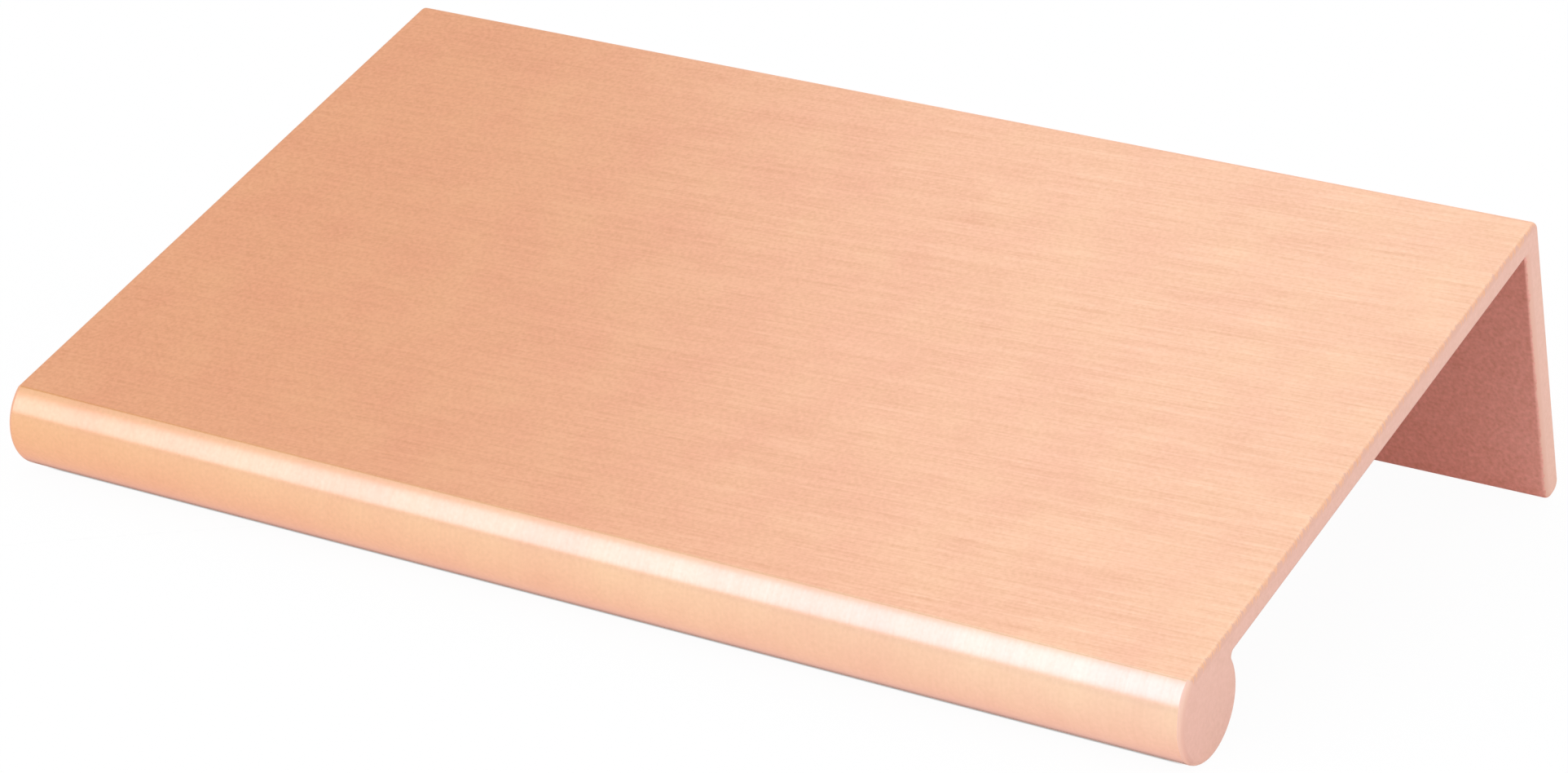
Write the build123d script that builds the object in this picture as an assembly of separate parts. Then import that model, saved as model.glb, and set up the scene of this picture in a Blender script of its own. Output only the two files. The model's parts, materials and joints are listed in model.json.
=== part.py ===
"""Edge pull: one length of extruded aluminium profile.

A thin plate laps the top edge of a drawer front. A round bead runs along the plate's front edge
for the fingers, and a leg behind it is screwed to the back of the front.
The section is drawn with Y to the back and Z up from the plate's top, and is extruded along X.
All sizes are in millimetres.
"""

import math
import os

from build123d import *

# Overall sizes of the section and the cut length
length = 70.0
depth = 40.6
leg_height = 17.28

# Walls and bead
plate_thickness = 1.35
leg_thickness = 1.5
bead_diameter = 5.66
bead_flat = 0.28

# Radii left by the extrusion die, and the rounding of the sawn ends
crease_radius = 0.3
rear_corner_radius = 0.5
outer_foot_radius = 0.7
inner_foot_radius = 0.5
inside_corner_radius = 0.1
notch_radius = 0.2
end_edge_radius = 0.3

# Two countersunk screw holes through the leg
hole_spacing = 40.0
hole_diameter = 4.0
countersink_diameter = 6.2
hole_drop = 9.5

# The plate's top plane takes a flat off the bead, so the bead's centre hangs a little under a radius below it
bead_radius = bead_diameter / 2
bead_z = bead_flat - bead_radius
crease_y = -math.sqrt(bead_radius**2 - bead_z**2)
notch_y = math.sqrt(bead_radius**2 - (bead_z + plate_thickness) ** 2)
rear_y = depth - bead_radius
leg_y = rear_y - leg_thickness

# The section's outline runs from the crease over the plate and down the leg, then back under the plate and round the bead
crease = (crease_y, 0)
rear_corner = (rear_y, 0)
outer_foot = (rear_y, -leg_height)
inner_foot = (leg_y, -leg_height)
inner_corner = (leg_y, -plate_thickness)
notch = (notch_y, -plate_thickness)
walls = Polyline(crease, rear_corner, outer_foot, inner_foot, inner_corner, notch)
bead = ThreePointArc(notch, (0, bead_z - bead_radius), crease)
section = make_face(walls.edges() + bead.edges())
for corner, radius in (
    (crease, crease_radius),
    (rear_corner, rear_corner_radius),
    (outer_foot, outer_foot_radius),
    (inner_foot, inner_foot_radius),
    (inner_corner, inside_corner_radius),
    (notch, notch_radius),
):
    section = fillet(section.vertices().sort_by_distance(corner)[0], radius)

profile = extrude(Plane.YZ * section, amount=length / 2, both=True)
faces_along = profile.faces().sort_by(Axis.X)
sawn_edges = faces_along[0].edges() + faces_along[-1].edges()
profile = fillet(sawn_edges, end_edge_radius)

# Each screw goes in from the rear face, so the countersink opens there
countersink_depth = (countersink_diameter - hole_diameter) / 2
for x in (-hole_spacing / 2, hole_spacing / 2):
    hole = Plane(origin=(x, rear_y, -hole_drop), z_dir=(0, 1, 0))
    drill = hole * Cylinder(hole_diameter / 2, 3 * leg_thickness)
    sink = hole * Pos(0, 0, -countersink_depth / 2) * Cone(
        hole_diameter / 2, countersink_diameter / 2, countersink_depth
    )
    profile = profile - drill - sink

# Unheld, the pull stands on the bead and the leg's inner foot corner, with the plate sloping down to the front
foot_y = leg_y + inner_foot_radius
foot_z = inner_foot_radius - leg_height
reach = math.hypot(foot_y, bead_z - foot_z)
rest_tilt = math.atan2(bead_z - foot_z, foot_y) - math.asin((bead_radius - inner_foot_radius) / reach)
profile = Rot(math.degrees(rest_tilt), 0, 0) * profile
box = profile.bounding_box()
profile = Pos(-box.center().X, -box.center().Y, -box.min.Z) * profile

os.makedirs("parts", exist_ok=True)
export_step(profile, "parts/edge_pull.step")
print(f"rest tilt {math.degrees(rest_tilt):.3f} deg, volume {profile.volume:.1f} mm3")
print(f"size {box.size.X:.3f} x {box.size.Y:.3f} x {box.size.Z:.3f} mm")
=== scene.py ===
# %% [markdown]
# # A copper-finished edge pull
# An edge pull is one length of extruded aluminium profile. A thin plate laps the top edge of a drawer
# front, a round bead along its front gives the fingers something to hold, and a leg behind takes the
# screws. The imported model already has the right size, but its round parts are made of flat facets. This
# lesson traces the same section again in fine steps, gives it its brushed finish, and then sets up a
# table, some light and a camera.

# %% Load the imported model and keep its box
import json
import math

import bpy
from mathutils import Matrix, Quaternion, Vector


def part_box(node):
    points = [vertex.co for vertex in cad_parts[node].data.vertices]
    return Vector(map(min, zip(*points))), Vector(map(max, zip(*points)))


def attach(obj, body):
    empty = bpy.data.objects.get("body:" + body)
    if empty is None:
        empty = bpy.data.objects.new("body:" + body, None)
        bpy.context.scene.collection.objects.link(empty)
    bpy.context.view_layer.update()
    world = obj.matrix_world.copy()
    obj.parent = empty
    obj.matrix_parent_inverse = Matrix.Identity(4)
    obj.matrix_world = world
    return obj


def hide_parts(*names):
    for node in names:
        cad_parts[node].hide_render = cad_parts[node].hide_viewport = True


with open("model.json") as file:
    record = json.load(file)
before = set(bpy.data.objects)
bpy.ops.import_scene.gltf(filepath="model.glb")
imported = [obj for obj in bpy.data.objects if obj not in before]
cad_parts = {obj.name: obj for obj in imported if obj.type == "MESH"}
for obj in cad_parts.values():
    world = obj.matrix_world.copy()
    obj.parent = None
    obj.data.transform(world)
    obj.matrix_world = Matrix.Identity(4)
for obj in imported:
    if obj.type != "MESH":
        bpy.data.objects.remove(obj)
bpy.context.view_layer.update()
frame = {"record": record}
mounts = {mount["name"]: mount for mount in frame["record"]["mounts"]}
bpy.ops.object.select_all(action="DESELECT")

# %% [markdown]
# ## The sizes of the section
# All sizes are in metres. The section is drawn as it sits on a drawer, with Y to the back, Z up from the
# plate's top, and the middle of the bead at Y = 0. The length, the size and spacing of the screw holes
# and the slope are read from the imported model, so they can't drift away from it. The rest are the
# section's own walls and radii, as the drawing of its extrusion die would give them.

# %% Name the sizes
low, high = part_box("edge_pull")
half_length = (high.x - low.x) / 2

depth = 0.0406
leg_height = 0.01728
plate_thickness = 0.00135
leg_thickness = 0.0015
bead_radius = 0.00283
bead_flat = 0.00028

crease_radius = 0.0003
rear_corner_radius = 0.0005
outer_foot_radius = 0.0007
inner_foot_radius = 0.0005
inside_corner_radius = 0.0001
notch_radius = 0.0002
end_edge_radius = 0.0003

bead_z = bead_flat - bead_radius
rear_y = depth - bead_radius
leg_y = rear_y - leg_thickness
print(f"length {2 * half_length:.4f} m, bead middle {-bead_z:.5f} m below the plate's top")

# %% [markdown]
# ## A pen for the outline
# A section made of straight walls and round turns can be drawn with two edit-mode tools. Extruding a
# single point pulls out a straight wall, and spinning it about a middle point draws a round turn of exact
# radius. Both leave the new end point selected, so the outline grows like a pen stroke. A plane whose
# four corners are merged is the first point. Joining boxes and cylinders would be another way, but it
# leaves seams where the real section runs on smoothly.

# %% Make the pen
STEP_DEGREES = 4
FEWEST_STEPS = 4


def start_outline(name, y, z):
    """Adds a plane, merges it to one point at the profile's left end and leaves that point selected."""
    bpy.ops.mesh.primitive_plane_add(size=bead_radius, location=(0, 0, 0))
    bpy.context.object.name = name
    bpy.ops.object.mode_set(mode="EDIT")
    bpy.ops.mesh.select_all(action="SELECT")
    bpy.ops.mesh.merge(type="CENTER")
    bpy.ops.transform.translate(value=(-half_length, y, z))
    return bpy.context.object, Vector((y, z))


def wall(pen, y, z):
    """Pulls the end point straight to (y, z)."""
    bpy.ops.mesh.extrude_region_move(TRANSFORM_OT_translate={"value": (0, y - pen.x, z - pen.y)})
    return Vector((y, z))


def turn(pen, middle, degrees):
    """Swings the end point about a middle: a positive turn runs from the top towards the back."""
    steps = max(FEWEST_STEPS, round(abs(degrees) / STEP_DEGREES))
    angle = math.radians(degrees)
    bpy.ops.mesh.spin(steps=steps, angle=angle, center=(-half_length, *middle), axis=(1, 0, 0))
    arm = pen - Vector(middle)
    swung = Vector((
        arm.x * math.cos(angle) + arm.y * math.sin(angle),
        arm.y * math.cos(angle) - arm.x * math.sin(angle),
    ))
    return Vector(middle) + swung


print("the pen draws a quarter turn in", round(90 / STEP_DEGREES), "steps")

# %% [markdown]
# ## Where the radii touch
# At the crease the plate's flat top runs into the bead, and underneath a small inside radius leads from
# the plate into the bead. A circle that touches a line and another circle has its middle one radius from
# the line, and as far from the bead's middle as the two radii allow. So both middles are worked out, and
# the outline stays smooth when a size changes.

# %% Find the middles of the two radii beside the bead
crease_z = -crease_radius
crease_y = -math.sqrt((bead_radius - crease_radius) ** 2 - (crease_z - bead_z) ** 2)
notch_z = -plate_thickness - notch_radius
notch_y = math.sqrt((bead_radius + notch_radius) ** 2 - (notch_z - bead_z) ** 2)
crease_angle = math.degrees(math.atan2(crease_z - bead_z, crease_y))
notch_angle = math.degrees(math.atan2(notch_z - bead_z, notch_y))
print(f"the plate joins the bead between {notch_angle:.1f} and {crease_angle:.1f} degrees")

# %% [markdown]
# ## Once round the section
# The pen starts at the crease, runs back over the plate's top and down the leg, turns about the foot,
# comes up inside and forward under the plate, and closes the outline round the bead. Each line below is
# one wall or one radius of the real profile, in the order in which a finger would trace them. The last
# point falls on the first, so merging doubles closes the loop.

# %% Draw the outline
MERGE_DISTANCE = 1e-7
pull, pen = start_outline("edge_pull_profile", crease_y, 0)
pen = wall(pen, rear_y - rear_corner_radius, 0)
pen = turn(pen, (rear_y - rear_corner_radius, -rear_corner_radius), 90)
pen = wall(pen, rear_y, outer_foot_radius - leg_height)
pen = turn(pen, (rear_y - outer_foot_radius, outer_foot_radius - leg_height), 90)
pen = wall(pen, leg_y + inner_foot_radius, -leg_height)
pen = turn(pen, (leg_y + inner_foot_radius, inner_foot_radius - leg_height), 90)
pen = wall(pen, leg_y, -plate_thickness - inside_corner_radius)
pen = turn(pen, (leg_y - inside_corner_radius, -plate_thickness - inside_corner_radius), -90)
pen = wall(pen, notch_y, -plate_thickness)
pen = turn(pen, (notch_y, notch_z), -90 - notch_angle)
pen = turn(pen, (0, bead_z), 360 + notch_angle - crease_angle)
pen = turn(pen, (crease_y, crease_z), crease_angle - 90)
bpy.ops.mesh.select_all(action="SELECT")
bpy.ops.mesh.remove_doubles(threshold=MERGE_DISTANCE)
pull.update_from_editmode()
print("outline points:", len(pull.data.vertices), "pen ends at", tuple(round(c, 6) for c in pen))

# %% [markdown]
# ## From outline to bar
# The real bar is made by pushing hot metal through a die of this outline and sawing it to length.
# Blender's extrude does the same: the outline is filled with one face, and the face is pulled along X for
# the cut length. So every wall of the outline becomes one long, straight face, as on the real bar.

# %% Fill and extrude the section
bpy.ops.mesh.edge_face_add()
bpy.ops.mesh.extrude_region_move(TRANSFORM_OT_translate={"value": (2 * half_length, 0, 0)})
bpy.ops.mesh.select_all(action="SELECT")
bpy.ops.mesh.normals_make_consistent(inside=False)
bpy.ops.object.mode_set(mode="OBJECT")
print("faces of the bar:", len(pull.data.polygons))

# %% [markdown]
# ## The sawn ends
# A saw leaves sharp edges, which are broken by tumbling before the finish. A bevel of the two end
# outlines gives the same small round, with enough segments for the light to turn softly. The edges are
# found by their place, because both outlines lie in the planes of the ends and nothing else does.

# %% Round the sawn ends
TOUCHING = 1e-6
END_SEGMENTS = 5
ROUND_PROFILE = 0.5


def select_edges(piece, wanted):
    """Leaves the piece in edit mode with the edges selected whose middle passes a test on its place."""
    bpy.ops.object.mode_set(mode="EDIT")
    bpy.ops.mesh.select_mode(type="EDGE")
    bpy.ops.mesh.select_all(action="DESELECT")
    bpy.ops.object.mode_set(mode="OBJECT")
    points = piece.data.vertices
    for edge in piece.data.edges:
        start, end = (points[i].co for i in edge.vertices)
        edge.select = wanted((start + end) / 2)
    bpy.ops.object.mode_set(mode="EDIT")


select_edges(pull, lambda middle: abs(middle.x) > half_length - TOUCHING)
bpy.ops.mesh.bevel(
    offset=end_edge_radius,
    segments=END_SEGMENTS,
    profile=ROUND_PROFILE,
    affect="EDGES",
    clamp_overlap=False,
)
bpy.ops.mesh.select_all(action="SELECT")
bpy.ops.mesh.remove_doubles(threshold=TOUCHING)
bpy.ops.mesh.normals_make_consistent(inside=False)
bpy.ops.object.mode_set(mode="OBJECT")
print("faces after the bevel:", len(pull.data.polygons))

# %% [markdown]
# ## A drill for the screw holes
# Two screws go through the leg from behind, into the back of the drawer front. Each hole is a bore that
# opens into a cone for the screw's head. A tool of the same shape starts as a cylinder of the bore's
# size. Its rear face is extruded and widened into the cone, a little past the leg, because a cut that
# ends exactly on a face is not clean.

# %% Make two countersunk drills
MILLIMETRE = 0.001
hole_radius = mounts["screw_holes"]["dims"]["hole_r_mm"] * MILLIMETRE
hole_spacing = mounts["screw_holes"]["dims"]["pcd_mm"] * MILLIMETRE
hole_drop = 0.0095
countersink_radius = 0.0031
cone_depth = countersink_radius - hole_radius
PAST_THE_LEG = 0.0004
HOLE_SIDES = 64


def countersunk_drill(x):
    """Makes the drill for one place along the bar, with its cone at the leg's rear face."""
    bore_length = 2 * leg_thickness
    bore_y = rear_y - cone_depth - bore_length / 2
    bpy.ops.object.select_all(action="DESELECT")
    bpy.ops.mesh.primitive_cylinder_add(
        vertices=HOLE_SIDES,
        radius=hole_radius,
        depth=bore_length,
        location=(x, bore_y, -hole_drop),
        rotation=(math.radians(90), 0, 0),
    )
    drill = bpy.context.object
    bpy.ops.object.transform_apply(location=True, rotation=True, scale=True)
    select_edges(drill, lambda middle: middle.y > rear_y - cone_depth - TOUCHING)
    bpy.ops.mesh.extrude_region_move(TRANSFORM_OT_translate={"value": (0, cone_depth + PAST_THE_LEG, 0)})
    widen = (countersink_radius + PAST_THE_LEG) / hole_radius
    bpy.ops.transform.resize(value=(widen, 1, widen), center_override=(x, rear_y, -hole_drop))
    bpy.ops.mesh.select_all(action="SELECT")
    bpy.ops.mesh.normals_make_consistent(inside=False)
    bpy.ops.object.mode_set(mode="OBJECT")
    return drill


drills = [countersunk_drill(x) for x in (-hole_spacing / 2, hole_spacing / 2)]
print(f"drills of {2000 * hole_radius:.1f} mm, {1000 * hole_spacing:.1f} mm apart:", len(drills))

# %% [markdown]
# ## Drilling the leg
# The holes are drilled after the bar is cut, as in the shop. A Boolean modifier takes each drill's shape
# out of the bar. It is applied at once, so that the holes belong to the mesh, and the drill is thrown
# away.

# %% Drill the leg
bpy.context.view_layer.objects.active = pull
for drill in drills:
    cut = pull.modifiers.new("screw hole", "BOOLEAN")
    cut.operation = "DIFFERENCE"
    cut.object = drill
    bpy.ops.object.modifier_apply(modifier=cut.name)
    bpy.data.objects.remove(drill)
print("faces after drilling:", len(pull.data.polygons))

# %% [markdown]
# ## Which face has which finish
# The plate and the leg are brushed, the bead is polished, the ends are sawn, and under the plate the
# metal is as it came from the die. Each face carries the number of its finish. The numbers could be given
# by hand, but a face's place and facing say enough, and they are easiest to read while the section is
# still level.

# %% Sort the faces by finish
finishes = range(4)
FLAT_FINISH, BEAD_FINISH, SAWN_FINISH, INSIDE_FINISH = finishes
END_FACING = 0.99


def finish_of(face):
    """Says which finish a face of the bar has."""
    middle = face.center
    if abs(face.normal.x) > END_FACING:
        return SAWN_FINISH
    reach = math.hypot(middle.y, middle.z - bead_z)
    if reach < bead_radius + TOUCHING and middle.z < -TOUCHING and middle.y < notch_y:
        return BEAD_FINISH
    under_plate = middle.z < end_edge_radius - plate_thickness and middle.y < leg_y + end_edge_radius
    return INSIDE_FINISH if under_plate else FLAT_FINISH


for face in pull.data.polygons:
    face.material_index = finish_of(face)
counts = [sum(f.material_index == finish for f in pull.data.polygons) for finish in finishes]
print("flat, bead, sawn and inside faces:", counts)

# %% [markdown]
# ## Which way the brush went
# A brushed metal looks different along and across its strokes. On the flat faces they run along the bar,
# and on the bead they run round it. A UV map can hold that: its V runs along the strokes and its U across
# them, both in metres, so that one grain pattern serves every face. On the flat faces U also changes a
# little along the bar. That turns the strokes by a few degrees, as when a bar goes slightly askew under
# the brush. A saw cut has no strokes, so there any layout will do.

# %% Lay out the stroke map
ASKEW_DEGREES = 2.7
stroke_slope = math.tan(math.radians(ASKEW_DEGREES))


def stroke_place(finish, place):
    """Gives U across the strokes and V along them for a point of that finish."""
    if finish == BEAD_FINISH:
        return place.x, bead_radius * math.atan2(place.y, bead_z - place.z)
    if finish == SAWN_FINISH:
        return place.y, place.z
    return place.y - place.z - stroke_slope * place.x, place.x


strokes = pull.data.uv_layers.new(name="strokes")
for face in pull.data.polygons:
    for corner in face.loop_indices:
        place = pull.data.vertices[pull.data.loops[corner].vertex_index].co
        strokes.data[corner].uv = stroke_place(face.material_index, place)
print("face corners on the stroke map:", len(strokes.data))

# %% [markdown]
# ## Standing it up
# Put down by itself, the pull stands on its bead and the leg's foot, so the plate slopes to the front.
# The slope is the lean of the plate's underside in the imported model. Turning and moving the object and
# then applying both leaves the object at the origin with its place in the mesh.

# %% Tilt the profile and set it on the floor
underside = Vector(mounts["plate_underside"]["axis"])
tilt = math.atan2(underside.y, -underside.z)
bead_middle = Vector((0, low.y + bead_radius, low.z + bead_radius))
bpy.ops.object.select_all(action="DESELECT")
pull.select_set(True)
bpy.context.view_layer.objects.active = pull
pull.rotation_euler = (tilt, 0, 0)
pull.location = bead_middle - Vector((0, -math.sin(tilt) * bead_z, math.cos(tilt) * bead_z))
bpy.ops.object.transform_apply(location=True, rotation=True, scale=True)
print(f"tilt {math.degrees(tilt):.3f} degrees")

# %% [markdown]
# ## Smooth shading
# The real radii are smooth, and the fine steps of the mesh shouldn't show. Smooth shading alone would
# smear the light of the small radii over the wide flat faces. The Weighted Normal modifier lets the
# larger face decide, so flats stay flat and only the radii turn.

# %% Shade the piece
SMOOTH_DEGREES = 35
LARGEST_FACE_DECIDES = 100
bpy.ops.object.shade_smooth_by_angle(angle=math.radians(SMOOTH_DEGREES))
weigh = pull.modifiers.new("flat faces decide", "WEIGHTED_NORMAL")
weigh.keep_sharp = True
weigh.weight = LARGEST_FACE_DECIDES
bpy.ops.object.modifier_apply(modifier=weigh.name)
print("triangles:", sum(len(f.vertices) - 2 for f in pull.data.polygons))

# %% [markdown]
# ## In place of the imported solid
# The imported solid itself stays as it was.

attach(pull, "root")
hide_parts("edge_pull")
print("piece:", pull.name)


# %% [markdown]
# ## Tools for node graphs
# A finish is a graph of nodes. In Blender's window, nodes are dragged out and joined by hand. In a
# script, one tool adds a node and fills its inputs, and two more do sums with values and with colours. So
# each line of a graph below reads like a formula.

# %% Make the tools that add nodes and do sums
def add_node(tree, kind, inputs=None, **settings):
    """Adds a node with its settings. An input that is given a socket is linked to it, any other is set."""
    node = tree.nodes.new(kind)
    for name, value in settings.items():
        setattr(node, name, value)
    for key, value in (inputs or {}).items():
        if isinstance(value, bpy.types.NodeSocket):
            tree.links.new(value, node.inputs[key])
        else:
            node.inputs[key].default_value = value
    return node


def calculate(tree, operation, *values):
    """Works out one value from others."""
    return add_node(tree, "ShaderNodeMath", dict(enumerate(values)), operation=operation).outputs[0]


def calculate_colour(tree, operation, *values):
    """Works out a colour from others, channel by channel. A single value counts for all channels."""
    return add_node(tree, "ShaderNodeVectorMath", dict(enumerate(values)), operation=operation).outputs[0]


print("tools:", [tool.__name__ for tool in (add_node, calculate, calculate_colour)])


# %% [markdown]
# ## Places, noise and blends
# Most of an uneven finish comes from a few steps: take the place on the object, make soft noise of it,
# bring the noise to the range that is needed, and blend two colours or values by it. Each step is one
# kind of node.

# %% Make the tools for uneven finishes
NOISE_MIDDLE = 0.5


def object_place(tree):
    """Gives the place on the object, in metres."""
    return add_node(tree, "ShaderNodeTexCoord").outputs["Object"]


def object_axes(tree):
    """Gives the X, Y and Z of the place on the object."""
    return add_node(tree, "ShaderNodeSeparateXYZ", {0: object_place(tree)}).outputs


def noise(tree, place, scale, detail, roughness):
    """Gives a soft random value about NOISE_MIDDLE for each place."""
    inputs = {"Vector": place, "Scale": scale, "Detail": detail, "Roughness": roughness}
    return add_node(tree, "ShaderNodeTexNoise", inputs).outputs["Fac"]


def rescale(tree, value, old, new):
    """Carries a value from the old range (low, high) to the new one and stops it at the ends."""
    ends = {"From Min": old[0], "From Max": old[1], "To Min": new[0], "To Max": new[1]}
    return add_node(tree, "ShaderNodeMapRange", {"Value": value, **ends}).outputs["Result"]


def blend(tree, share, first, second, data_type="FLOAT"):
    """Mixes two values, or two colours with data_type RGBA, by the second's share."""
    inputs = {"Factor": share, "A": first, "B": second}
    return add_node(tree, "ShaderNodeMix", inputs, data_type=data_type).outputs["Result"]


print("tools:", [tool.__name__ for tool in (object_place, object_axes, noise, rescale, blend)])


# %% [markdown]
# ## Brush strokes
# Each stroke is a hair-fine bundle of scratches, a few millimetres long. A picture of brushed metal would
# repeat itself and blur close up. Noise that is stretched along V doesn't, and two sizes of it keep the
# pattern from looking even. Several finishes use the strokes, so they are a node group, which is a graph
# with named sockets. It puts out one value about 0.5 for colour, roughness and relief.

# %% Make the brush-stroke group
def new_group(name, sockets):
    """Starts a shader node group with named sockets: (name, IN or OUT, type, default).

    Gives the group, the values it is given inside, and the places for its results.
    """
    group = bpy.data.node_groups.new(name, "ShaderNodeTree")
    for label, way, kind, default in sockets:
        socket = group.interface.new_socket(label, in_out=way + "PUT", socket_type="NodeSocket" + kind)
        if default is not None:
            socket.default_value = default
    return group, group.nodes.new("NodeGroupInput").outputs, group.nodes.new("NodeGroupOutput").inputs


BROAD_SCALE = 0.27
BROAD_SHARE = 0.35
stroke_group, given, result = new_group("brush strokes", [
    ("Stroke Width", "IN", "Float", 0.0001),
    ("Stroke Length", "IN", "Float", 0.006),
    ("Strokes", "OUT", "Float", None),
])
stroke_map = add_node(stroke_group, "ShaderNodeUVMap", uv_map="strokes")
uv = add_node(stroke_group, "ShaderNodeSeparateXYZ", {0: stroke_map.outputs["UV"]}).outputs
across = calculate(stroke_group, "DIVIDE", uv["X"], given["Stroke Width"])
along = calculate(stroke_group, "DIVIDE", uv["Y"], given["Stroke Length"])
stretched = add_node(stroke_group, "ShaderNodeCombineXYZ", {"X": across, "Y": along}).outputs[0]
fine = noise(stroke_group, stretched, scale=1.0, detail=2.0, roughness=0.6)
broad = noise(stroke_group, stretched, scale=BROAD_SCALE, detail=1.0, roughness=0.5)
stroke_group.links.new(blend(stroke_group, BROAD_SHARE, fine, broad), result["Strokes"])
print("made node group:", stroke_group.name)

# %% [markdown]
# ## The dye in the anodised skin, and painted light along the bar
# The copper tone is a dye in the metal's oxide skin, and it takes up a little unevenly. Soft patches a few
# millimetres wide are deeper or paler, which noise on the object's own place gives. The group also takes a
# colour for each end and blends them along the bar. That blend is painted light: a finish gets darker and
# yellower towards the left end and brighter and paler towards the right. The group puts the painted light
# out too, because the end edges need it.

# %% Start the group for the anodised tint and the painted light
PATCHES_PER_METRE = 260
tint_and_light_group, given, result = new_group("anodised tint and painted light", [
    ("Deep", "IN", "Color", (0.93, 0.488, 0.336, 1)),
    ("Pale", "IN", "Color", (0.99, 0.593, 0.384, 1)),
    # The two end colours paint light along the bar: darker and yellower at the left end, brighter and paler
    # at the right.
    ("Left Painted Light", "IN", "Color", (1, 1, 1, 1)),
    ("Right Painted Light", "IN", "Color", (1, 1, 1, 1)),
    ("Speckle Depth", "IN", "Float", 0.25),
    ("Tone", "IN", "Float", 0.0),
    ("Color", "OUT", "Color", None),
    ("Cast", "OUT", "Color", None),
])
tint_place = object_place(tint_and_light_group)
patches = noise(tint_and_light_group, tint_place, scale=PATCHES_PER_METRE, detail=2.0, roughness=0.55)
patch_tint = blend(tint_and_light_group, patches, given["Deep"], given["Pale"], data_type="RGBA")
to_right = rescale(tint_and_light_group, object_axes(tint_and_light_group)["X"], (-half_length, half_length), (0, 1))
# Painted light: the left end's colour blends into the right end's along the bar.
painted_light_cast = blend(tint_and_light_group, to_right, given["Left Painted Light"], given["Right Painted Light"], data_type="RGBA")
tinted_and_lit = calculate_colour(tint_and_light_group, "MULTIPLY", patch_tint, painted_light_cast)
# The painted light also goes out on its own, for the end edges.
tint_and_light_group.links.new(painted_light_cast, result["Cast"])
print("started node group:", tint_and_light_group.name)

# %% [markdown]
# ## Speckle and strokes in the tint
# The etched surface sparkles in fine specks, and the strokes are lighter and darker lines. Both change
# the tone, and a darker tone is also more saturated, so blue swings further than red. A plain mix with
# black would look dirty instead. The brush bore harder on the right: towards that end the strokes grow
# bolder, and the speckle grows fainter by as much.

# %% Finish the group for the anodised tint and the painted light
SPECKS_PER_METRE = 4500
BOLDNESS = (0.75, 1.25)
TONE_SWING = (0.75, 1.0, 1.37)
boldness = rescale(tint_and_light_group, to_right, (0, 1), BOLDNESS)
faintness = calculate(tint_and_light_group, "SUBTRACT", sum(BOLDNESS), boldness)
stroke_tone = calculate(tint_and_light_group, "MULTIPLY", given["Tone"], boldness)
specks = noise(tint_and_light_group, tint_place, scale=SPECKS_PER_METRE, detail=1.0, roughness=0.5)
speckle = calculate(tint_and_light_group, "SUBTRACT", specks, NOISE_MIDDLE)
speckle_depth = calculate(tint_and_light_group, "MULTIPLY", given["Speckle Depth"], faintness)
tone = calculate(tint_and_light_group, "MULTIPLY_ADD", speckle, speckle_depth, stroke_tone)
toning = calculate_colour(tint_and_light_group, "MULTIPLY_ADD", TONE_SWING, tone, (1, 1, 1))
toned = calculate_colour(tint_and_light_group, "MULTIPLY", tinted_and_lit, toning)
tint_and_light_group.links.new(toned, result["Color"])
print("finished node group:", tint_and_light_group.name, "with", len(tint_and_light_group.nodes), "nodes")

# %% [markdown]
# ## Where the brush ran over the end
# The rounded end edge is half brushed: the strokes run over it unevenly and stop, so the border between
# the brushed face and the matt end is frayed. A border between two sets of faces would be too straight.
# So the group goes by a point's distance from the middle of the bar. It says whether the point is past
# the border, which the strokes move to and fro, and how far the edge has turned towards the end.

# %% Make the frayed-end group
BORDER = 0.000015
fray_group, given, result = new_group("frayed end", [
    ("Strokes", "IN", "Float", NOISE_MIDDLE),
    ("Reach", "IN", "Float", 0.0001),
    ("Fray", "IN", "Float", 0.0004),
    ("Sawn Share", "OUT", "Float", None),
    ("Turned Share", "OUT", "Float", None),
])
from_middle = calculate(fray_group, "ABSOLUTE", object_axes(fray_group)["X"])
past_border = calculate(fray_group, "ADD", from_middle, given["Reach"])
to_and_fro = calculate(fray_group, "SUBTRACT", given["Strokes"], NOISE_MIDDLE)
frayed = calculate(fray_group, "MULTIPLY_ADD", to_and_fro, given["Fray"], past_border)
sawn_share = rescale(fray_group, frayed, (half_length - BORDER, half_length + BORDER), (0, 1))
# How far the edge has turned sets where its colour, with its painted light, gives way to the saw cut's
# colour.
turned_share = rescale(fray_group, from_middle, (half_length - end_edge_radius / 2, half_length), (0, 1))
fray_group.links.new(sawn_share, result["Sawn Share"])
fray_group.links.new(turned_share, result["Turned Share"])
print("made node group:", fray_group.name)

# %% [markdown]
# ## A recipe for brushed metal
# The strokes shift the colour a little, vary the roughness and give a very fine relief. The scratches
# within them are finer than a pixel, so the anisotropy stands for those: it spreads the light across the
# strokes, and the Tangent node takes their direction from the UV map. Past the frayed border the same metal
# is matt. There its edge colour, which is partly the half-brushed finish and partly painted light where the
# rounded edge catches the light, turns into the colour of the saw cut. One function makes every brushed
# finish, because they differ only in their values.

# %% Write the recipe
STROKE_RANGE = (0.2, 0.8)
DULLNESS_SWING = 0.15
SAWN_TINT = (0.85, 0.538, 0.438, 1)
SAWN_ROUGHNESS = 0.6
SAWN_METALLIC = 0.7


def new_metal(name):
    """Starts a material and gives it with its graph and its shader."""
    material = bpy.data.materials.new(name)
    material.use_nodes = True
    return material, material.node_tree, material.node_tree.nodes["Principled BSDF"]


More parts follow.
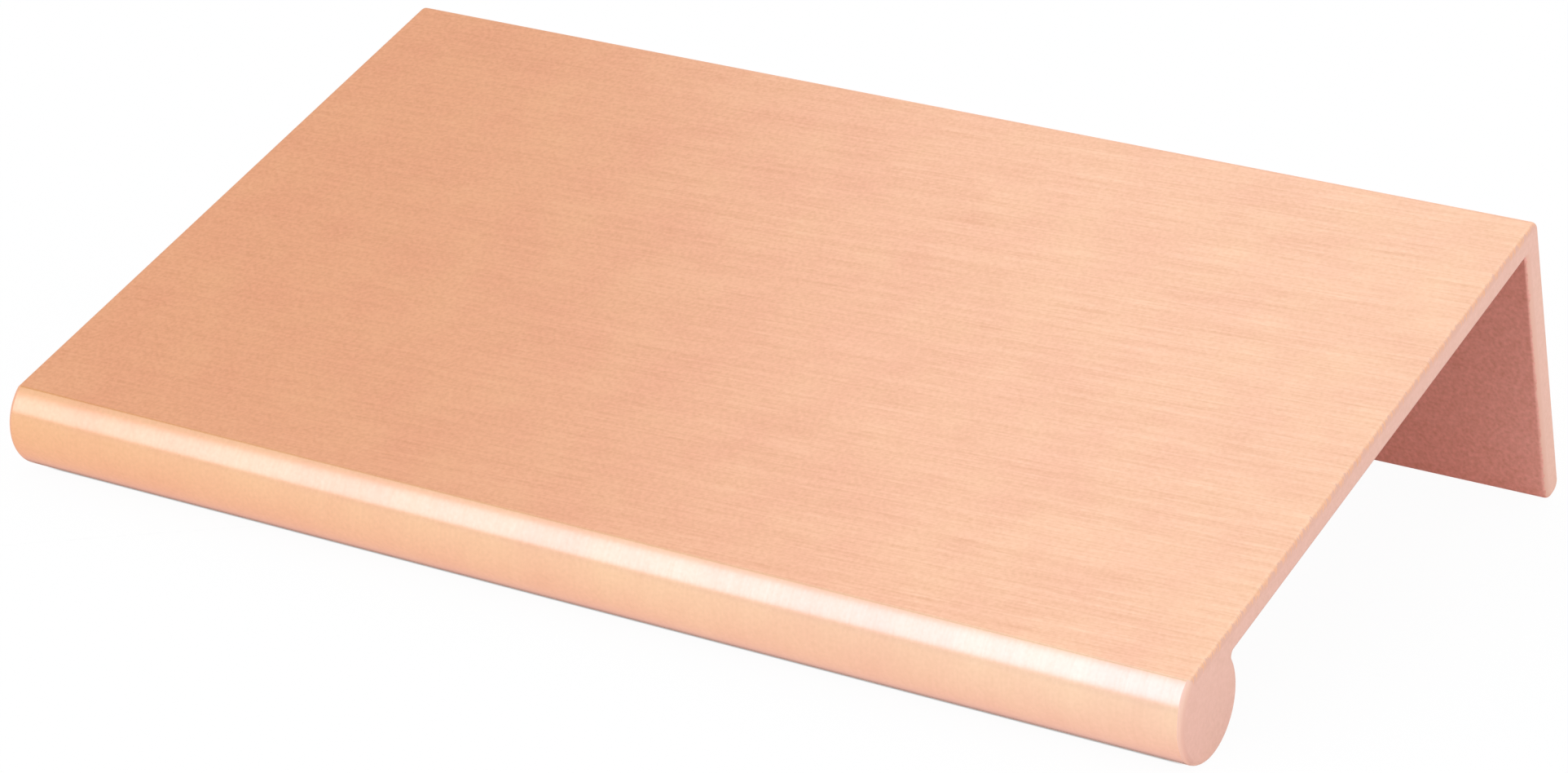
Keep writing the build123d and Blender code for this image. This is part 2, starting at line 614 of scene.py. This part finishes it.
def brushed_copper(name, stroke, roughness, anisotropy, shade_depth, relief, reach, fray, edge_tint_and_light, tints):
    """A metal with strokes of a given (width, length), whose border towards the sawn ends is frayed."""
    material, tree, shader = new_metal(name)
    stroke_size = {"Stroke Width": stroke[0], "Stroke Length": stroke[1]}
    grain = add_node(tree, "ShaderNodeGroup", stroke_size, node_tree=stroke_group).outputs["Strokes"]
    border = {"Strokes": grain, "Reach": reach, "Fray": fray}
    end = add_node(tree, "ShaderNodeGroup", border, node_tree=fray_group).outputs
    tone = rescale(tree, grain, STROKE_RANGE, (-shade_depth, shade_depth))
    tint = add_node(tree, "ShaderNodeGroup", {"Tone": tone, **tints}, node_tree=tint_and_light_group).outputs
    # The edge colour, partly painted light, takes on the painted light along the bar and then gives way to
    # the saw cut's colour.
    edge = calculate_colour(tree, "MULTIPLY", tint["Cast"], edge_tint_and_light)
    end_tint_and_light = blend(tree, end["Turned Share"], edge, SAWN_TINT, data_type="RGBA")
    dullness = ((1 + DULLNESS_SWING) * roughness, (1 - DULLNESS_SWING) * roughness)
    dull = rescale(tree, grain, STROKE_RANGE, dullness)
    bump = add_node(tree, "ShaderNodeBump", {"Strength": 1.0, "Distance": relief, "Height": grain})
    tangent = add_node(tree, "ShaderNodeTangent", direction_type="UV_MAP", uv_map="strokes")
    shader.inputs["Anisotropic"].default_value = anisotropy
    looks = {
        "Base Color": blend(tree, end["Sawn Share"], tint["Color"], end_tint_and_light, data_type="RGBA"),
        "Roughness": blend(tree, end["Sawn Share"], dull, SAWN_ROUGHNESS),
        "Metallic": rescale(tree, end["Sawn Share"], (0, 1), (1, SAWN_METALLIC)),
        "Normal": bump.outputs["Normal"],
        "Tangent": tangent.outputs["Tangent"],
    }
    for look, socket in looks.items():
        tree.links.new(socket, shader.inputs[look])
    return material


print(f"past the border the roughness is {SAWN_ROUGHNESS} and the metallic {SAWN_METALLIC}")

# %% [markdown]
# ## The plate and the leg
# Their strokes are long and the deepest of all, so the light fans out widely and a lamp shows only as a
# soft glow. The brush ran well over the end edges, and the border there is jagged. The tints are the
# group's own.

# %% Make the lengthwise brushed copper
flat_copper = brushed_copper(
    "lengthwise brushed copper",
    stroke=(0.00012, 0.0045),
    roughness=0.34,
    anisotropy=0.8,
    shade_depth=0.115,
    relief=0.000003,
    reach=0.00009,
    fray=0.0012,
    # The rounded end edge's colour: partly the half-brushed finish, partly painted light.
    edge_tint_and_light=(0.86, 0.525, 0.40),
    tints={},
)
print("made material:", flat_copper.name)

# %% [markdown]
# ## The bead
# Fingers touch the bead, so it is polished smoother, with faint strokes round it, and it holds a crisp
# streak of light. It also carries painted light along its length: darker and yellower at the left end,
# brighter and paler at the right.

# %% Make the polished bead copper
bead_copper = brushed_copper(
    "polished bead copper",
    stroke=(0.00015, 0.003),
    roughness=0.22,
    anisotropy=0.5,
    shade_depth=0.025,
    relief=0.0000004,
    reach=0.00026,
    fray=0.0004,
    # The rounded end edge's colour: partly the half-brushed finish, partly painted light, a lighter
    # crescent round the bead's end.
    edge_tint_and_light=(0.94, 0.53, 0.39),
    tints={
        # Painted light: darker and yellower at the left end, brighter and paler at the right.
        "Left Painted Light": (0.92, 0.925, 0.785, 1),
        "Right Painted Light": (0.97, 1.168, 1.256, 1),
        "Speckle Depth": 0.12,
    },
)
print("made material:", bead_copper.name)

# %% [markdown]
# ## Under the plate
# Nobody sees this side on a drawer, so it is left as it came from the die: broad, faint drawing marks along
# the bar and a stronger speckle. Drawing marks are strokes too, so the same recipe serves. Its colour is
# darker and redder here, and hardly patchy.

# %% Make the plain inside copper
inside_copper = brushed_copper(
    "plain inside copper",
    stroke=(0.0003, 0.02),
    roughness=0.40,
    anisotropy=0.6,
    shade_depth=0.03,
    relief=0.000002,
    reach=0.00014,
    fray=0.0004,
    # The rounded end edge's colour: partly the half-brushed finish, partly painted light, a lighter rim
    # along the underside's end edge.
    edge_tint_and_light=(0.92, 0.58, 0.46),
    tints={
        "Deep": (0.895, 0.445, 0.368, 1),
        "Pale": (0.915, 0.465, 0.378, 1),
        "Speckle Depth": 0.65,
    },
)
print("made material:", inside_copper.name)

# %% [markdown]
# ## The saw cut
# A saw cut is matt. It scatters light evenly, takes the dye more thinly and looks paler and pinker than
# the faces. The marks of the saw are too fine to see one by one, so a fine grit in the roughness and in
# the relief is enough.

# %% Make the sawn finish
GRAINS_PER_METRE = 7000
GRIT_RELIEF = 0.00001
GRIT_STRENGTH = 0.6
GRIT_SWING = 0.1
sawn_copper, tree, shader = new_metal("matt sawn copper")
sawn_tints = {
    "Deep": (0.84, 0.522, 0.43, 1),
    "Pale": (0.86, 0.554, 0.446, 1),
    "Speckle Depth": 0.2,
}
tint = add_node(tree, "ShaderNodeGroup", sawn_tints, node_tree=tint_and_light_group).outputs["Color"]
grit = noise(tree, object_place(tree), scale=GRAINS_PER_METRE, detail=2.0, roughness=0.6)
dull = rescale(tree, grit, (0, 1), (SAWN_ROUGHNESS - GRIT_SWING, SAWN_ROUGHNESS + GRIT_SWING))
grit_relief = {"Strength": GRIT_STRENGTH, "Distance": GRIT_RELIEF, "Height": grit}
bump = add_node(tree, "ShaderNodeBump", grit_relief)
shader.inputs["Metallic"].default_value = SAWN_METALLIC
tree.links.new(tint, shader.inputs["Base Color"])
tree.links.new(dull, shader.inputs["Roughness"])
tree.links.new(bump.outputs["Normal"], shader.inputs["Normal"])
print("made material:", sawn_copper.name)

# %% [markdown]
# ## Four finishes on one piece
# The real pull is one piece, so its finishes go on one mesh and not on four. A mesh has numbered material
# slots, and each face carries a slot's number. The faces got theirs when they were sorted, so the
# materials only have to go into the slots in the same order.

# %% Put the finishes on the piece
for material in (flat_copper, bead_copper, sawn_copper, inside_copper):
    pull.data.materials.append(material)
for index, material in enumerate(pull.data.materials):
    print(material.name, "is on", sum(f.material_index == index for f in pull.data.polygons), "faces")


# %% [markdown]
# ## The table
# The pull stands on a white table, a plane just below the height zero. Polished metal shows what is
# around it, so the table is part of the look, and its material takes the next three cells.

# %% Lay out the table
TABLE_SIZE = 6
TABLE_HEIGHT = -0.00002


def bare_material(piece, name):
    """Gives a stage piece a new material without a shader, and returns its empty graph."""
    material = bpy.data.materials.new(name)
    material.use_nodes = True
    material.node_tree.nodes.clear()
    piece.data.materials.append(material)
    return material.node_tree


bpy.ops.object.select_all(action="DESELECT")
bpy.ops.mesh.primitive_plane_add(size=TABLE_SIZE, location=(0, 0, TABLE_HEIGHT))
table = bpy.context.object
table.name = "white_table"
table_tree = bare_material(table, "white table")
print("made the table:", table.name)

# %% [markdown]
# ## The gap under the bead
# Along the line where the bead stands, a narrow gap gets no light. Ambient Occlusion with a very short
# reach finds it, and a power deepens it. Light comes in at the bead's open ends, and the leg's foot, in
# the rear half, has no such dark line, so both places are kept light.

# %% Find the light in the gap
GAP_REACH = 0.00013
GAP_DEPTH = 1.6
GAP_SAMPLES = 16
open_from = half_length - 0.0025
open_to = half_length - 0.0008
gap = {"Distance": GAP_REACH}
occlusion = add_node(table_tree, "ShaderNodeAmbientOcclusion", gap, samples=GAP_SAMPLES)
gap_light = calculate(table_tree, "POWER", occlusion.outputs["AO"], GAP_DEPTH)
spot = object_axes(table_tree)
spot_from_middle = calculate(table_tree, "ABSOLUTE", spot["X"])
open_end = rescale(table_tree, spot_from_middle, (open_from, open_to), (0, 1))
rear_half = calculate(table_tree, "GREATER_THAN", spot["Y"], 0.0)
open_place = calculate(table_tree, "MAXIMUM", open_end, rear_half)
light_let_in = calculate(table_tree, "MAXIMUM", gap_light, open_place)
print(f"the gap grows light over the last {1000 * (half_length - open_from):.1f} mm at each end")

# %% [markdown]
# ## White for the camera, real for the metal
# The table is a real white surface, which darkens under the pull, and the metal mirrors that. For the
# camera most of its brightness is its own, which keeps the background white and the shadow light. The
# Light Path node tells the two apart by the kind of ray that looks at the table.

# %% Mix the table's white
SEEN_SHARE = 0.96
MIRRORED_SHARE = 0.15
WHITE = (1, 1, 1, 1)
TABLE_WHITE = (0.92, 0.92, 0.92, 1)
rays = add_node(table_tree, "ShaderNodeLightPath").outputs
mirrored = calculate(table_tree, "MAXIMUM", rays["Is Glossy Ray"], rays["Is Transmission Ray"])
mirrored_share = calculate(table_tree, "MULTIPLY", mirrored, MIRRORED_SHARE)
own_share = calculate(table_tree, "MULTIPLY_ADD", rays["Is Camera Ray"], SEEN_SHARE, mirrored_share)
lit_white = add_node(table_tree, "ShaderNodeBsdfDiffuse", {"Color": TABLE_WHITE}).outputs[0]
own_light = {"Color": WHITE, "Strength": light_let_in}
own_white = add_node(table_tree, "ShaderNodeEmission", own_light).outputs[0]
whites = {"Fac": own_share, 1: lit_white, 2: own_white}
white = add_node(table_tree, "ShaderNodeMixShader", whites).outputs[0]
print(f"the table's own light: {SEEN_SHARE} for the camera, {MIRRORED_SHARE} in the metal")

# %% [markdown]
# ## A table to look through from below
# The underside of the pull is part of the object, so the table shouldn't hide it. Backfacing is 1 where a
# face is seen from behind, and there the white gives way to a clear shader.

# %% Make the table one-sided
clear = add_node(table_tree, "ShaderNodeBsdfTransparent").outputs[0]
from_below = add_node(table_tree, "ShaderNodeNewGeometry").outputs["Backfacing"]
one_sided = add_node(table_tree, "ShaderNodeMixShader", {"Fac": from_below, 1: white, 2: clear}).outputs[0]
add_node(table_tree, "ShaderNodeOutputMaterial", {"Surface": one_sided})
print("nodes of the table's material:", len(table_tree.nodes))

# %% [markdown]
# ## The room
# Small shiny things are often pictured in a white tent, which leaves no dark corner for them to mirror. A
# white world is such a tent without walls. What the camera and the metal see of it is plain white, and as
# a lamp it is a touch stronger.

# %% Make the white room
SEEN_STRENGTH = 1.0
LAMP_STRENGTH = 1.05
room = bpy.data.worlds.new("white room")
bpy.context.scene.world = room
room.use_nodes = True
tree = room.node_tree
tree.nodes.clear()
rays = add_node(tree, "ShaderNodeLightPath").outputs
seen_or_mirrored = calculate(tree, "MAXIMUM", rays["Is Camera Ray"], rays["Is Glossy Ray"])
seen = calculate(tree, "MAXIMUM", seen_or_mirrored, rays["Is Transmission Ray"])
walls = add_node(tree, "ShaderNodeBackground", {"Color": WHITE, "Strength": SEEN_STRENGTH}).outputs[0]
lamp = add_node(tree, "ShaderNodeBackground", {"Color": WHITE, "Strength": LAMP_STRENGTH}).outputs[0]
tent = add_node(tree, "ShaderNodeMixShader", {"Fac": seen, 1: lamp, 2: walls}).outputs[0]
add_node(tree, "ShaderNodeOutputWorld", {"Surface": tent})
print("made the world:", room.name)

# %% [markdown]
# ## Softboxes
# A softbox is a lamp behind a cloth, bright all over. Blender's area lamp is one, and it can be oval. Its
# power is spread over its area, so a helper works the power out from the radiance, which is how bright
# the cloth looks. The helper also says where a lamp stands by two angles about the pull, because angles
# decide where the metal mirrors it.

# %% Make a tool for softboxes
LAMP_DISTANCE = 0.6


def around(azimuth, elevation, distance):
    """A place seen from the pull: azimuth 0 is in front, 90 is at its right."""
    a, e = math.radians(azimuth), math.radians(elevation)
    return distance * Vector((math.sin(a) * math.cos(e), -math.cos(a) * math.cos(e), math.sin(e)))


def face_back(thing, way, roll):
    """Turns a lamp or a camera to face back along the way it was moved, rolled by some degrees."""
    facing = (-way).to_track_quat("-Z", "Y") @ Quaternion((0, 0, 1), math.radians(roll))
    thing.rotation_euler = facing.to_euler()


def softbox(name, azimuth, elevation, lean, width, height, radiance, colour):
    """An oval area lamp that faces the pull and is as bright as the given radiance."""
    cloth = bpy.data.lights.new(name, "AREA")
    cloth.shape = "ELLIPSE"
    cloth.size = width
    cloth.size_y = height
    cloth.energy = radiance * math.pi * (math.pi / 4 * width * height)
    cloth.color = colour
    holder = bpy.data.objects.new(name, cloth)
    bpy.context.scene.collection.objects.link(holder)
    holder.location = around(azimuth, elevation, LAMP_DISTANCE)
    face_back(holder, holder.location, lean)
    holder.visible_camera = False


print(f"softboxes stand {LAMP_DISTANCE} m from the pull")

# %% [markdown]
# ## Soft light
# A tall oval softbox in front and to the left draws the bright streak along the bead. It leans, so the
# streak doesn't stay at one height on the bead from end to end. A second one above and behind brightens
# the near end of the plate. Both are bluish, because copper swallows blue, and without more of it a
# streak wouldn't turn white.

# %% Place the softboxes
softbox(
    "front softbox",
    azimuth=-25.4,
    elevation=34.2,
    lean=-35,
    width=0.368,
    height=0.718,
    radiance=1.05,
    colour=(0.5, 0.52, 1.0),
)
softbox(
    "top softbox",
    azimuth=180,
    elevation=62,
    lean=0,
    width=0.626,
    height=0.677,
    radiance=0.35,
    colour=(0.3, 0.8, 1.0),
)

# %% [markdown]
# ## A gold reflector
# A round reflector with a gold lining stands at the left. The strokes fan light out along a cone about
# the bar's length, so a round card centred on that line darkens the far end of the plate evenly. A circle
# makes it, and two bisects cut it off just above the table and a little way in front of the pull.

# %% Place the gold reflector
GOLD = (0.81, 0.68, 0.55, 1)
reflector_x = -0.35
reflector_radius = 0.58
reflector_foot = 0.01
reflector_front = -0.12
reflector_sides = 96
bpy.ops.object.select_all(action="DESELECT")
bpy.ops.mesh.primitive_circle_add(
    vertices=reflector_sides,
    radius=reflector_radius,
    fill_type="NGON",
    location=(reflector_x, 0, 0),
    rotation=(0, math.radians(90), 0),
)
reflector = bpy.context.object
reflector.name = "gold_reflector"
bpy.ops.object.transform_apply(location=True, rotation=True, scale=True)
bpy.ops.object.mode_set(mode="EDIT")
bpy.ops.mesh.select_all(action="SELECT")
bpy.ops.mesh.bisect(plane_co=(0, 0, reflector_foot), plane_no=(0, 0, 1), clear_inner=True)
bpy.ops.mesh.select_all(action="SELECT")
bpy.ops.mesh.bisect(plane_co=(0, reflector_front, 0), plane_no=(0, 1, 0), clear_inner=True)
bpy.ops.object.mode_set(mode="OBJECT")
tree = bare_material(reflector, "gold lining")
lining = add_node(tree, "ShaderNodeEmission", {"Color": GOLD, "Strength": 1.0}).outputs[0]
add_node(tree, "ShaderNodeOutputMaterial", {"Surface": lining})
reflector.visible_camera = False
print("reflector corners:", len(reflector.data.vertices))

# %% [markdown]
# ## A white card
# A white card lies on the table in front of the pull, nearly up to the bead, and lifts the bead's
# underside. Only mirrored rays see it, so it needs no thickness and throws no shadow.

# %% Lay the white card
CARD_HEIGHT = 0.00001
CARD_GAP = 0.00115
contact_y = low.y + bead_radius
card_width = 0.8
card_front = -0.38
card_back = contact_y - CARD_GAP
card_middle = (card_front + card_back) / 2
bpy.ops.object.select_all(action="DESELECT")
bpy.ops.mesh.primitive_plane_add(size=1, location=(0, card_middle, CARD_HEIGHT))
card = bpy.context.object
card.name = "white_card"
card.scale = (card_width, card_back - card_front, 1)
bpy.ops.object.transform_apply(location=True, rotation=True, scale=True)
card.visible_camera = False
card.visible_diffuse = False
card.visible_shadow = False
print(f"the card ends {1000 * (contact_y - card_back):.2f} mm before the line where the bead stands")

# %% [markdown]
# ## The pull's shade on the card
# The pull shades the card, so the card is darker the nearer it comes to the line where the bead stands.
# The shade falls off with the distance and leaves warm light, because that has already met the copper.
# Next to the gap a second shade, which falls off far more steeply, takes away most of what is left. A
# formula on the distance is smoother than a real shadow would be, and it can be set by hand.

# %% Make the card's material
OPEN_LIGHT = (1.07, 1.07, 1.07)
SHADE_REACH = 0.00042
SHADE_COLOUR = (-0.4, -1.25, -1.2)
GAP_SHADE_REACH = 0.0011
GAP_SHADE_STEEPNESS = 6.0
GAP_SHADE_COLOUR = (-1.0, -0.6, -0.6)
tree = bare_material(card, "white card")
away = calculate(tree, "SUBTRACT", contact_y, object_axes(tree)["Y"])
shade = calculate(tree, "DIVIDE", SHADE_REACH, away)
nearness = calculate(tree, "DIVIDE", GAP_SHADE_REACH, away)
gap_shade = calculate(tree, "POWER", nearness, GAP_SHADE_STEEPNESS)
shaded = calculate_colour(tree, "MULTIPLY_ADD", SHADE_COLOUR, shade, OPEN_LIGHT)
light_left = calculate_colour(tree, "MULTIPLY_ADD", GAP_SHADE_COLOUR, gap_shade, shaded)
paper = add_node(tree, "ShaderNodeEmission", {"Color": light_left, "Strength": 1.0}).outputs[0]
add_node(tree, "ShaderNodeOutputMaterial", {"Surface": paper})
print("nodes of the card's material:", len(tree.nodes))

# %% [markdown]
# ## The camera
# The camera stands at the front right, a little above, with a long lens, which keeps the edges of the
# plate nearly parallel. Its place comes from the outline of the pull in the picture that this model
# follows. The Standard view shows colours as they are, without the film look that Blender starts with.

# %% Place the camera
camera_aim = Vector((0.00338, -0.0055, 0.008))
camera_azimuth = 31.764
camera_elevation = 20.734
camera_distance = 0.2544
camera_roll = 0.579
focal_length = 113.813
sensor_width = 36
nearest_seen = 0.01
farthest_seen = 20

lens = bpy.data.cameras.new("camera")
lens.lens = focal_length
lens.sensor_width = sensor_width
lens.clip_start = nearest_seen
lens.clip_end = farthest_seen
camera = bpy.data.objects.new("camera", lens)
bpy.context.scene.collection.objects.link(camera)
step_back = around(camera_azimuth, camera_elevation, camera_distance)
camera.location = camera_aim + step_back
face_back(camera, step_back, camera_roll)
bpy.context.scene.camera = camera
bpy.context.scene.view_settings.view_transform = "Standard"
print("camera at", tuple(round(c, 5) for c in camera.location))
